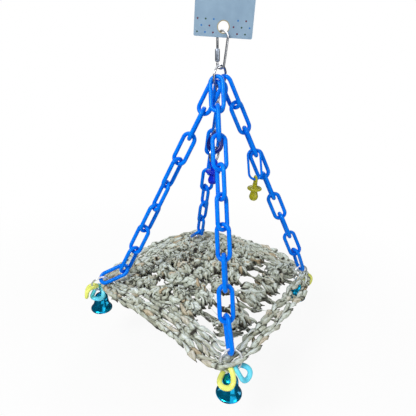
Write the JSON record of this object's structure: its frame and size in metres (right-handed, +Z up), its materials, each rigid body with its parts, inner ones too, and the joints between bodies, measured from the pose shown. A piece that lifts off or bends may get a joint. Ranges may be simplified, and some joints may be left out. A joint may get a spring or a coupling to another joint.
{
  "type": "hanging mat bird toy",
  "caption": "Woven seagrass mat swing for a cage bird, hung by plastic chains from a ring and quick link, with bells, curb links and dummies at the corners and middle.",
  "frame": {"origin": "centre of the hole that the card hangs by, in the middle of the card's thickness", "axes": "+Z straight up, +X to the viewer's right across the card, +Y away from the viewer through the card"},
  "size_m": [0.2087, 0.2154, 0.2952],
  "materials": {
    "card": "pale blue-grey printed board, matt",
    "nickel": "bright nickel-plated steel wire",
    "chain_blue": "glossy moulded plastic, strong blue",
    "lemon": "glossy moulded plastic, pale lemon",
    "sky_blue": "glossy moulded plastic, sky blue",
    "navy": "glossy moulded plastic, navy",
    "olive_lemon": "clear tinted plastic, olive lemon",
    "royal_blue": "clear tinted plastic, royal blue",
    "bell_teal": "pressed metal with a glossy teal metallic lacquer",
    "seagrass": "dry twisted seagrass cord, matt"
  },
  "bodies": {
    "header_card": {"header_card": "card"},
    "quick_link": {"quick_link": "nickel"},
    "quick_link_nut": {"quick_link_nut": "nickel"},
    "apex_ring": {"apex_ring": "nickel"},
    "left_link_1": {"left_link_1": "chain_blue"},
    "left_link_2": {"left_link_2": "chain_blue"},
    "left_link_3": {"left_link_3": "chain_blue"},
    "left_link_4": {"left_link_4": "chain_blue"},
    "left_link_5": {"left_link_5": "chain_blue"},
    "left_link_6": {"left_link_6": "chain_blue"},
    "left_link_7": {"left_link_7": "chain_blue"},
    "left_link_8": {"left_link_8": "chain_blue"},
    "left_link_9": {"left_link_9": "chain_blue"},
    "right_link_1": {"right_link_1": "chain_blue"},
    "right_link_2": {"right_link_2": "chain_blue"},
    "right_link_3": {"right_link_3": "chain_blue"},
    "right_link_4": {"right_link_4": "chain_blue"},
    "right_link_5": {"right_link_5": "chain_blue"},
    "right_link_6": {"right_link_6": "chain_blue"},
    "right_link_7": {"right_link_7": "chain_blue"},
    "right_link_8": {"right_link_8": "chain_blue"},
    "right_link_9": {"right_link_9": "chain_blue"},
    "front_link_1": {"front_link_1": "chain_blue"},
    "front_link_2": {"front_link_2": "chain_blue"},
    "front_link_3": {"front_link_3": "chain_blue"},
    "front_link_4": {"front_link_4": "chain_blue"},
    "front_link_5": {"front_link_5": "chain_blue"},
    "front_link_6": {"front_link_6": "chain_blue"},
    "front_link_7": {"front_link_7": "chain_blue"},
    "front_link_8": {"front_link_8": "chain_blue"},
    "front_link_9": {"front_link_9": "chain_blue"},
    "back_link_1": {"back_link_1": "chain_blue"},
    "back_link_2": {"back_link_2": "chain_blue"},
    "back_link_3": {"back_link_3": "chain_blue"},
    "back_link_4": {"back_link_4": "chain_blue"},
    "back_link_5": {"back_link_5": "chain_blue"},
    "back_link_6": {"back_link_6": "chain_blue"},
    "back_link_7": {"back_link_7": "chain_blue"},
    "back_link_8": {"back_link_8": "chain_blue"},
    "back_link_9": {"back_link_9": "chain_blue"},
    "left_ring": {"left_ring": "nickel"},
    "right_ring": {"right_ring": "nickel"},
    "front_ring": {"front_ring": "nickel"},
    "back_ring": {"back_ring": "nickel"},
    "mat": {"mat": "seagrass"},
    "left_bell": {"left_bell": "bell_teal"},
    "right_bell": {"right_bell": "bell_teal"},
    "front_bell": {"front_bell": "bell_teal"},
    "back_bell": {"back_bell": "bell_teal"},
    "front_yellow_link": {"front_yellow_link": "lemon"},
    "front_blue_link": {"front_blue_link": "sky_blue"},
    "left_blue_link": {"left_blue_link": "sky_blue"},
    "left_yellow_link": {"left_yellow_link": "lemon"},
    "right_yellow_link": {"right_yellow_link": "lemon"},
    "charm_link": {"charm_link": "chain_blue"},
    "yellow_dummy": {"yellow_dummy": "olive_lemon"},
    "fine_chain": {"fine_chain": "nickel"},
    "navy_link": {"navy_link": "navy"},
    "dangle_ring": {"dangle_ring": "nickel"},
    "royal_dummy": {"royal_dummy": "royal_blue"}
  },
  "joints": [
    {"name": "quick_link_swing", "type": "hinge", "parent": "header_card", "child": "quick_link", "pos_m": [0, 0, -0.0483], "axis": [0, 1, 0], "range_deg": [-15, 15]},
    {"name": "quick_link_nut_slide", "type": "slide", "parent": "quick_link", "child": "quick_link_nut", "axis": [-0.0703, 0.0474, 0.9964], "range_m": [0, 0.006]},
    {"name": "apex_ring_swing", "type": "hinge", "parent": "quick_link", "child": "apex_ring", "pos_m": [0, 0, -0.0733], "axis": [0.829, -0.5592, 0], "range_deg": [-15, 15]},
    {"name": "mat_swing", "type": "hinge", "parent": "apex_ring", "child": "mat", "pos_m": [0, 0, -0.08307], "axis": [0.5592, 0.829, 0], "range_deg": [-8, 4.5]},
    {"name": "left_link_1_twist", "type": "hinge", "parent": "mat", "child": "left_link_1", "pos_m": [-0.00648, -0.00312, -0.09403], "axis": [0.3973, 0.0706, 0.915], "range_deg": [-8, 3.5]},
    {"name": "left_link_2_twist", "type": "hinge", "parent": "mat", "child": "left_link_2", "pos_m": [-0.01492, -0.00462, -0.11348], "axis": [0.3973, 0.0706, 0.915], "range_deg": [-8, 8]},
    {"name": "left_link_3_twist", "type": "hinge", "parent": "mat", "child": "left_link_3", "pos_m": [-0.02336, -0.00612, -0.13292], "axis": [0.3973, 0.0706, 0.915], "range_deg": [-8, 8]},
    {"name": "left_link_4_twist", "type": "hinge", "parent": "mat", "child": "left_link_4", "pos_m": [-0.0318, -0.00762, -0.15236], "axis": [0.3973, 0.0706, 0.915], "range_deg": [-8, 8]},
    {"name": "left_link_5_twist", "type": "hinge", "parent": "mat", "child": "left_link_5", "pos_m": [-0.04024, -0.00912, -0.17181], "axis": [0.3973, 0.0706, 0.915], "range_deg": [-8, 8]},
    {"name": "left_link_6_twist", "type": "hinge", "parent": "mat", "child": "left_link_6", "pos_m": [-0.04869, -0.01063, -0.19125], "axis": [0.3973, 0.0706, 0.915], "range_deg": [-8, 8]},
    {"name": "left_link_7_twist", "type": "hinge", "parent": "mat", "child": "left_link_7", "pos_m": [-0.05713, -0.01213, -0.21069], "axis": [0.3973, 0.0706, 0.915], "range_deg": [-8, 8]},
    {"name": "left_link_8_twist", "type": "hinge", "parent": "mat", "child": "left_link_8", "pos_m": [-0.06557, -0.01363, -0.23014], "axis": [0.3973, 0.0706, 0.915], "range_deg": [-8, 8]},
    {"name": "left_link_9_twist", "type": "hinge", "parent": "mat", "child": "left_link_9", "pos_m": [-0.07844, -0.01581, -0.24394], "axis": [0.879, 0.1455, 0.454], "range_deg": [-8, 8]},
    {"name": "right_link_1_twist", "type": "hinge", "parent": "mat", "child": "right_link_1", "pos_m": [0.00841, 0.0051, -0.08992], "axis": [-0.4629, -0.0966, 0.8811], "range_deg": [-8, 2.5]},
    {"name": "right_link_2_twist", "type": "hinge", "parent": "mat", "child": "right_link_2", "pos_m": [0.01825, 0.00715, -0.10864], "axis": [-0.4629, -0.0966, 0.8811], "range_deg": [-8, 8]},
    {"name": "right_link_3_twist", "type": "hinge", "parent": "mat", "child": "right_link_3", "pos_m": [0.02809, 0.00921, -0.12737], "axis": [-0.4629, -0.0966, 0.8811], "range_deg": [-8, 6]},
    {"name": "right_link_4_twist", "type": "hinge", "parent": "mat", "child": "right_link_4", "pos_m": [0.03792, 0.01126, -0.14609], "axis": [-0.4629, -0.0966, 0.8811], "range_deg": [-8, 8]},
    {"name": "right_link_5_twist", "type": "hinge", "parent": "mat", "child": "right_link_5", "pos_m": [0.04776, 0.01331, -0.16481], "axis": [-0.4629, -0.0966, 0.8811], "range_deg": [-8, 8]},
    {"name": "right_link_6_twist", "type": "hinge", "parent": "mat", "child": "right_link_6", "pos_m": [0.0576, 0.01536, -0.18354], "axis": [-0.4629, -0.0966, 0.8811], "range_deg": [-8, 8]},
    {"name": "right_link_7_twist", "type": "hinge", "parent": "mat", "child": "right_link_7", "pos_m": [0.06743, 0.01741, -0.20226], "axis": [-0.4629, -0.0966, 0.8811], "range_deg": [-8, 8]},
    {"name": "right_link_8_twist", "type": "hinge", "parent": "mat", "child": "right_link_8", "pos_m": [0.07727, 0.01947, -0.22098], "axis": [-0.4629, -0.0966, 0.8811], "range_deg": [-8, 8]},
    {"name": "right_link_9_twist", "type": "hinge", "parent": "mat", "child": "right_link_9", "pos_m": [0.08604, 0.02239, -0.23918], "axis": [-0.3953, -0.1894, 0.8988], "range_deg": [-8, 8]},
    {"name": "front_link_1_twist", "type": "hinge", "parent": "mat", "child": "front_link_1", "pos_m": [-0.00126, -0.00945, -0.09002], "axis": [-0.1091, 0.4442, 0.8893], "range_deg": [-4, 3]},
    {"name": "front_link_2_twist", "type": "hinge", "parent": "mat", "child": "front_link_2", "pos_m": [0.00106, -0.01889, -0.10891], "axis": [-0.1091, 0.4442, 0.8893], "range_deg": [-8, 8]},
    {"name": "front_link_3_twist", "type": "hinge", "parent": "mat", "child": "front_link_3", "pos_m": [0.00337, -0.02832, -0.12781], "axis": [-0.1091, 0.4442, 0.8893], "range_deg": [-8, 8]},
    {"name": "front_link_4_twist", "type": "hinge", "parent": "mat", "child": "front_link_4", "pos_m": [0.00569, -0.03776, -0.14671], "axis": [-0.1091, 0.4442, 0.8893], "range_deg": [-8, 8]},
    {"name": "front_link_5_twist", "type": "hinge", "parent": "mat", "child": "front_link_5", "pos_m": [0.00801, -0.0472, -0.16561], "axis": [-0.1091, 0.4442, 0.8893], "range_deg": [-8, 8]},
    {"name": "front_link_6_twist", "type": "hinge", "parent": "mat", "child": "front_link_6", "pos_m": [0.01033, -0.05664, -0.1845], "axis": [-0.1091, 0.4442, 0.8893], "range_deg": [-8, 8]},
    {"name": "front_link_7_twist", "type": "hinge", "parent": "mat", "child": "front_link_7", "pos_m": [0.01265, -0.06608, -0.2034], "axis": [-0.1091, 0.4442, 0.8893], "range_deg": [-8, 8]},
    {"name": "front_link_8_twist", "type": "hinge", "parent": "mat", "child": "front_link_8", "pos_m": [0.01497, -0.07552, -0.2223], "axis": [-0.1091, 0.4442, 0.8893], "range_deg": [-8, 8]},
    {"name": "front_link_9_twist", "type": "hinge", "parent": "mat", "child": "front_link_9", "pos_m": [0.01786, -0.08665, -0.23896], "axis": [-0.1743, 0.646, 0.7431], "range_deg": [-8, 8]},
    {"name": "back_link_1_twist", "type": "hinge", "parent": "mat", "child": "back_link_1", "pos_m": [0.00077, 0.00712, -0.09408], "axis": [0.0595, -0.3906, 0.9186], "range_deg": [-4, 8]},
    {"name": "back_link_2_twist", "type": "hinge", "parent": "mat", "child": "back_link_2", "pos_m": [-0.0005, 0.01542, -0.1136], "axis": [0.0595, -0.3906, 0.9186], "range_deg": [-8, 8]},
    {"name": "back_link_3_twist", "type": "hinge", "parent": "mat", "child": "back_link_3", "pos_m": [-0.00176, 0.02372, -0.13312], "axis": [0.0595, -0.3906, 0.9186], "range_deg": [-8, 8]},
    {"name": "back_link_4_twist", "type": "hinge", "parent": "mat", "child": "back_link_4", "pos_m": [-0.00303, 0.03202, -0.15264], "axis": [0.0595, -0.3906, 0.9186], "range_deg": [-8, 8]},
    {"name": "back_link_5_twist", "type": "hinge", "parent": "mat", "child": "back_link_5", "pos_m": [-0.00429, 0.04032, -0.17216], "axis": [0.0595, -0.3906, 0.9186], "range_deg": [-8, 8]},
    {"name": "back_link_6_twist", "type": "hinge", "parent": "mat", "child": "back_link_6", "pos_m": [-0.00556, 0.04862, -0.19168], "axis": [0.0595, -0.3906, 0.9186], "range_deg": [-8, 8]},
    {"name": "back_link_7_twist", "type": "hinge", "parent": "mat", "child": "back_link_7", "pos_m": [-0.00682, 0.05692, -0.21121], "axis": [0.0595, -0.3906, 0.9186], "range_deg": [-8, 8]},
    {"name": "back_link_8_twist", "type": "hinge", "parent": "mat", "child": "back_link_8", "pos_m": [-0.00808, 0.06522, -0.23073], "axis": [0.0595, -0.3906, 0.9186], "range_deg": [-8, 8]},
    {"name": "back_link_9_twist", "type": "hinge", "parent": "mat", "child": "back_link_9", "pos_m": [-0.01146, 0.0768, -0.24615], "axis": [0.2731, -0.7505, 0.6018], "range_deg": [-8, 8]},
    {"name": "left_ring_turn", "type": "hinge", "parent": "mat", "child": "left_ring", "pos_m": [-0.09, -0.01652, -0.25415], "axis": [0.4383, -0.8589, -0.265], "range_deg": [-7, 7]},
    {"name": "right_ring_turn", "type": "hinge", "parent": "mat", "child": "right_ring", "pos_m": [0.091, 0.02472, -0.25511], "axis": [-0.4602, 0.8878, -0.0076], "range_deg": [-5, 7]},
    {"name": "front_ring_turn", "type": "hinge", "parent": "mat", "child": "front_ring", "pos_m": [0.02048, -0.09635, -0.25263], "axis": [0.2432, -0.9013, 0.3584], "range_deg": [-7, 7]},
    {"name": "back_ring_turn", "type": "hinge", "parent": "mat", "child": "back_ring", "pos_m": [-0.01432, 0.08652, -0.25833], "axis": [-0.8367, -0.5301, -0.1379], "range_deg": [-7, 7]},
    {"name": "left_bell_swing", "type": "hinge", "parent": "left_ring", "child": "left_bell", "pos_m": [-0.09091, -0.01472, -0.26148], "axis": [0.8907, 0.4545, 0], "range_deg": [-6.5, 15]},
    {"name": "right_bell_swing", "type": "hinge", "parent": "right_ring", "child": "right_bell", "pos_m": [0.09103, 0.02467, -0.26271], "axis": [-0.8878, -0.4602, 0], "range_deg": [-15, 15]},
    {"name": "front_bell_swing", "type": "hinge", "parent": "front_ring", "child": "front_bell", "pos_m": [0.02119, -0.09898, -0.25973], "axis": [0.9655, 0.2605, 0], "range_deg": [-12, 15]},
    {"name": "back_bell_swing", "type": "hinge", "parent": "back_ring", "child": "back_bell", "pos_m": [-0.01344, 0.08708, -0.26585], "axis": [0.5352, -0.8447, 0], "range_deg": [-15, 15]},
    {"name": "front_yellow_link_swing", "type": "hinge", "parent": "front_ring", "child": "front_yellow_link", "pos_m": [0.01826, -0.09954, -0.25916], "axis": [0.9266, 0.132, -0.3522], "range_deg": [-1.5, 10]},
    {"name": "front_blue_link_swing", "type": "hinge", "parent": "front_ring", "child": "front_blue_link", "pos_m": [0.02517, -0.09742, -0.25852], "axis": [0.4962, 0.4249, 0.7571], "range_deg": [-2.5, 10]},
    {"name": "left_blue_link_swing", "type": "hinge", "parent": "left_ring", "child": "left_blue_link", "pos_m": [-0.09389, -0.01649, -0.26068], "axis": [0.7625, 0.4629, -0.4521], "range_deg": [-10, 10]},
    {"name": "left_yellow_link_swing", "type": "hinge", "parent": "left_ring", "child": "left_yellow_link", "pos_m": [-0.0967, -0.0192, -0.25654], "axis": [0.1366, 0.0332, -0.9901], "range_deg": [-10, 10]},
    {"name": "right_yellow_link_swing", "type": "hinge", "parent": "right_ring", "child": "right_yellow_link", "pos_m": [0.09536, 0.02693, -0.26093], "axis": [-0.4288, -0.2786, -0.8594], "range_deg": [-3.5, 10]},
    {"name": "charm_link_swing", "type": "hinge", "parent": "mat", "child": "charm_link", "pos_m": [0.03183, 0.00732, -0.13604], "axis": [-0.0213, 0.9658, -0.2584], "range_deg": [-8, 6]},
    {"name": "yellow_dummy_swing", "type": "hinge", "parent": "charm_link", "child": "yellow_dummy", "pos_m": [0.03488, 0.00204, -0.15603], "axis": [0.9862, 0.1653, 0], "range_deg": [-20, 20]},
    {"name": "fine_chain_swing", "type": "hinge", "parent": "apex_ring", "child": "fine_chain", "pos_m": [0, 0, -0.08635], "axis": [0.5592, 0.829, 0], "range_deg": [-8, 8]},
    {"name": "navy_link_swing", "type": "hinge", "parent": "fine_chain", "child": "navy_link", "pos_m": [0, 0, -0.1235], "axis": [0.829, -0.5592, 0], "range_deg": [-15, 15]},
    {"name": "dangle_ring_swing", "type": "hinge", "parent": "navy_link", "child": "dangle_ring", "pos_m": [0, 0, -0.1346], "axis": [0.829, -0.5592, 0], "range_deg": [-15, 15]},
    {"name": "royal_dummy_swing", "type": "hinge", "parent": "dangle_ring", "child": "royal_dummy", "pos_m": [0, 0, -0.1434], "axis": [0.5592, 0.829, 0], "range_deg": [-20, 20]}
  ]
}
